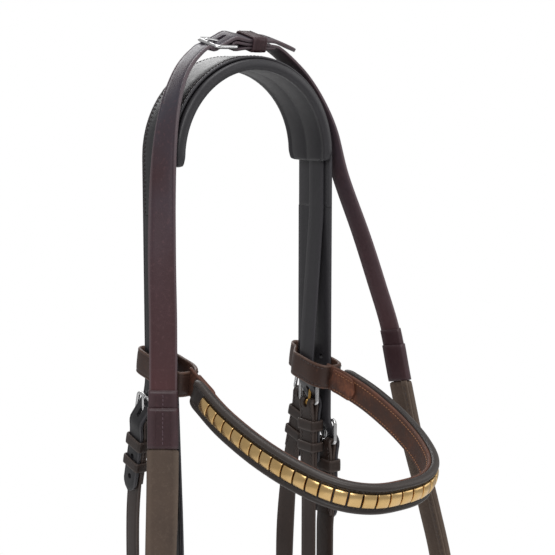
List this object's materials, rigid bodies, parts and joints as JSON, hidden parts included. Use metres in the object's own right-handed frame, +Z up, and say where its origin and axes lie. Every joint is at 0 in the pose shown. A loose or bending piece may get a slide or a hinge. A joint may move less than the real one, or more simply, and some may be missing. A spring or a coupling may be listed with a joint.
{
  "type": "snaffle bridle",
  "caption": "Full-size leather snaffle bridle with clincher browband, cavesson noseband, loose-ring jointed bit and rubber-grip reins, hung by its crown.",
  "frame": {"origin": "underside of the crown padding at its highest point, where the bridle rests on its hanger", "axes": "+Z up, -Y towards the browband (the horse's forehead), +X towards the horse's near side"},
  "size_m": [0.2462, 0.2992, 0.9302],
  "materials": {
    "crown_leather": "satin, close black grain",
    "strap_leather": "satin, dark havana brown",
    "lining_leather": "worn, reddish brown with tan stitching",
    "rein_leather": "satin, plum to burgundy",
    "grip_rubber": "matt, ribbed",
    "plate_brass": "polished, lightly brushed",
    "buckle_nickel": "polished nickel silver",
    "brass_hardware": "polished",
    "bit_steel": "polished stainless"
  },
  "bodies": {
    "root": {"headpiece": "crown_leather", "headpiece_padding": "crown_leather", "noseband_headstrap": "crown_leather", "cheekpiece_left": "strap_leather", "cheekpiece_right": "strap_leather", "cheek_buckle_left": "buckle_nickel", "cheek_buckle_right": "buckle_nickel", "cheek_keeper_left": "strap_leather", "cheek_keeper_right": "strap_leather", "cheek_billet_keepers_left": "strap_leather", "cheek_billet_keepers_right": "strap_leather", "throatlash": "strap_leather", "throat_buckle_left": "buckle_nickel", "throat_buckle_right": "buckle_nickel", "throat_keeper_left": "strap_leather", "throat_keeper_right": "strap_leather", "noseband_cheek": "strap_leather", "headstrap_buckle": "buckle_nickel", "headstrap_keeper": "strap_leather", "noseband_band": "strap_leather", "noseband_padding": "strap_leather", "noseband_chin_strap": "strap_leather", "noseband_buckle": "buckle_nickel", "noseband_keeper": "strap_leather", "rein_hand_left": "rein_leather", "rein_hand_right": "rein_leather", "rein_grip_left": "grip_rubber", "rein_grip_right": "grip_rubber", "rein_splices_left": "rein_leather", "rein_splices_right": "rein_leather", "rein_billet_left": "rein_leather", "rein_billet_right": "rein_leather", "rein_billet_keepers_left": "rein_leather", "rein_billet_keepers_right": "rein_leather", "hook_studs": "buckle_nickel", "rein_buckle": "buckle_nickel", "rein_keeper": "rein_leather"},
    "browband": {"browband_strap": "lining_leather", "browband_padding": "strap_leather", "browband_plates": "plate_brass", "browband_loop_left": "strap_leather", "browband_loop_right": "strap_leather"},
    "cheek_tongue_left": {"cheek_tongue_left": "buckle_nickel"},
    "cheek_runner_left": {"cheek_runner_left": "strap_leather"},
    "cheek_tongue_right": {"cheek_tongue_right": "buckle_nickel"},
    "cheek_runner_right": {"cheek_runner_right": "strap_leather"},
    "throat_tongue_left": {"throat_tongue_left": "buckle_nickel"},
    "throat_runner_left": {"throat_runner_left": "strap_leather"},
    "throat_tongue_right": {"throat_tongue_right": "buckle_nickel"},
    "throat_runner_right": {"throat_runner_right": "strap_leather"},
    "headstrap_tongue": {"headstrap_tongue": "brass_hardware"},
    "headstrap_runner": {"headstrap_runner": "strap_leather"},
    "noseband_tongue": {"noseband_tongue": "buckle_nickel"},
    "noseband_runner": {"noseband_runner": "strap_leather"},
    "rein_tongue": {"rein_tongue": "buckle_nickel"},
    "bit_ring_left": {"bit_ring_left": "bit_steel"},
    "bit_ring_right": {"bit_ring_right": "bit_steel"},
    "bit_cannon_right": {"bit_cannon_right": "bit_steel"},
    "bit_cannon_left": {"bit_cannon_left": "bit_steel"}
  },
  "joints": [
    {"name": "browband_slide", "type": "slide", "parent": "root", "child": "browband", "axis": [0, 0, 1], "range_m": [0, 0.03]},
    {"name": "cheek_tongue_left_hinge", "type": "hinge", "parent": "root", "child": "cheek_tongue_left", "pos_m": [-0.0718, -0.0095, -0.278], "axis": [0, -1, 0], "range_deg": [0, 10]},
    {"name": "cheek_runner_left_slide", "type": "slide", "parent": "root", "child": "cheek_runner_left", "axis": [0, 0, 1], "range_m": [-0.012, 0.008]},
    {"name": "cheek_tongue_right_hinge", "type": "hinge", "parent": "root", "child": "cheek_tongue_right", "pos_m": [0.0718, -0.0095, -0.278], "axis": [0, 1, 0], "range_deg": [0, 10]},
    {"name": "cheek_runner_right_slide", "type": "slide", "parent": "root", "child": "cheek_runner_right", "axis": [0, 0, 1], "range_m": [-0.012, 0.008]},
    {"name": "throat_tongue_left_hinge", "type": "hinge", "parent": "root", "child": "throat_tongue_left", "pos_m": [-0.0718, 0.01851, -0.24601], "axis": [0, -0.9659, -0.2588], "range_deg": [0, 10]},
    {"name": "throat_runner_left_slide", "type": "slide", "parent": "root", "child": "throat_runner_left", "axis": [0, -0.2588, 0.9659], "range_m": [-0.008, 0.008]},
    {"name": "throat_tongue_right_hinge", "type": "hinge", "parent": "root", "child": "throat_tongue_right", "pos_m": [0.0718, 0.01851, -0.24601], "axis": [0, 0.9659, 0.2588], "range_deg": [0, 10]},
    {"name": "throat_runner_right_slide", "type": "slide", "parent": "root", "child": "throat_runner_right", "axis": [0, -0.2588, 0.9659], "range_m": [-0.008, 0.008]},
    {"name": "headstrap_tongue_hinge", "type": "hinge", "parent": "root", "child": "headstrap_tongue", "pos_m": [0.0595, -0.005, -0.247], "axis": [0, 1, 0], "range_deg": [0, 10]},
    {"name": "headstrap_runner_slide", "type": "slide", "parent": "root", "child": "headstrap_runner", "axis": [0, 0, 1], "range_m": [-0.006, 0.008]},
    {"name": "noseband_tongue_hinge", "type": "hinge", "parent": "root", "child": "noseband_tongue", "pos_m": [0.0568, 0.05565, -0.41711], "axis": [0, 0.2079, -0.9781], "range_deg": [0, 10]},
    {"name": "noseband_runner_slide", "type": "slide", "parent": "root", "child": "noseband_runner", "axis": [0, 0.9781, 0.2079], "range_m": [-0.01, 0.004]},
    {"name": "rein_tongue_hinge", "type": "hinge", "parent": "root", "child": "rein_tongue", "pos_m": [-0.012, -0.004, 0.0185], "axis": [0, 0.9659, 0.2588], "range_deg": [0, 10]},
    {"name": "bit_ring_left_spin", "type": "hinge", "parent": "root", "child": "bit_ring_left", "pos_m": [-0.0718, -0.0095, -0.522], "axis": [1, 0, 0], "continuous": true},
    {"name": "bit_ring_right_spin", "type": "hinge", "parent": "root", "child": "bit_ring_right", "pos_m": [0.0718, -0.0095, -0.522], "axis": [1, 0, 0], "continuous": true},
    {"name": "bit_cannon_right_swing", "type": "hinge", "parent": "root", "child": "bit_cannon_right", "pos_m": [0.0718, -0.0095, -0.522], "axis": [-1, 0, 0], "range_deg": [0, 90]},
    {"name": "bit_cannon_left_swing", "type": "hinge", "parent": "root", "child": "bit_cannon_left", "pos_m": [-0.0718, -0.0095, -0.522], "axis": [-1, 0, 0], "range_deg": [0, 90]}
  ],
  "couplings": [
    {"joint": "bit_cannon_left_swing", "follows": "bit_cannon_right_swing", "ratio": 1}
  ]
}
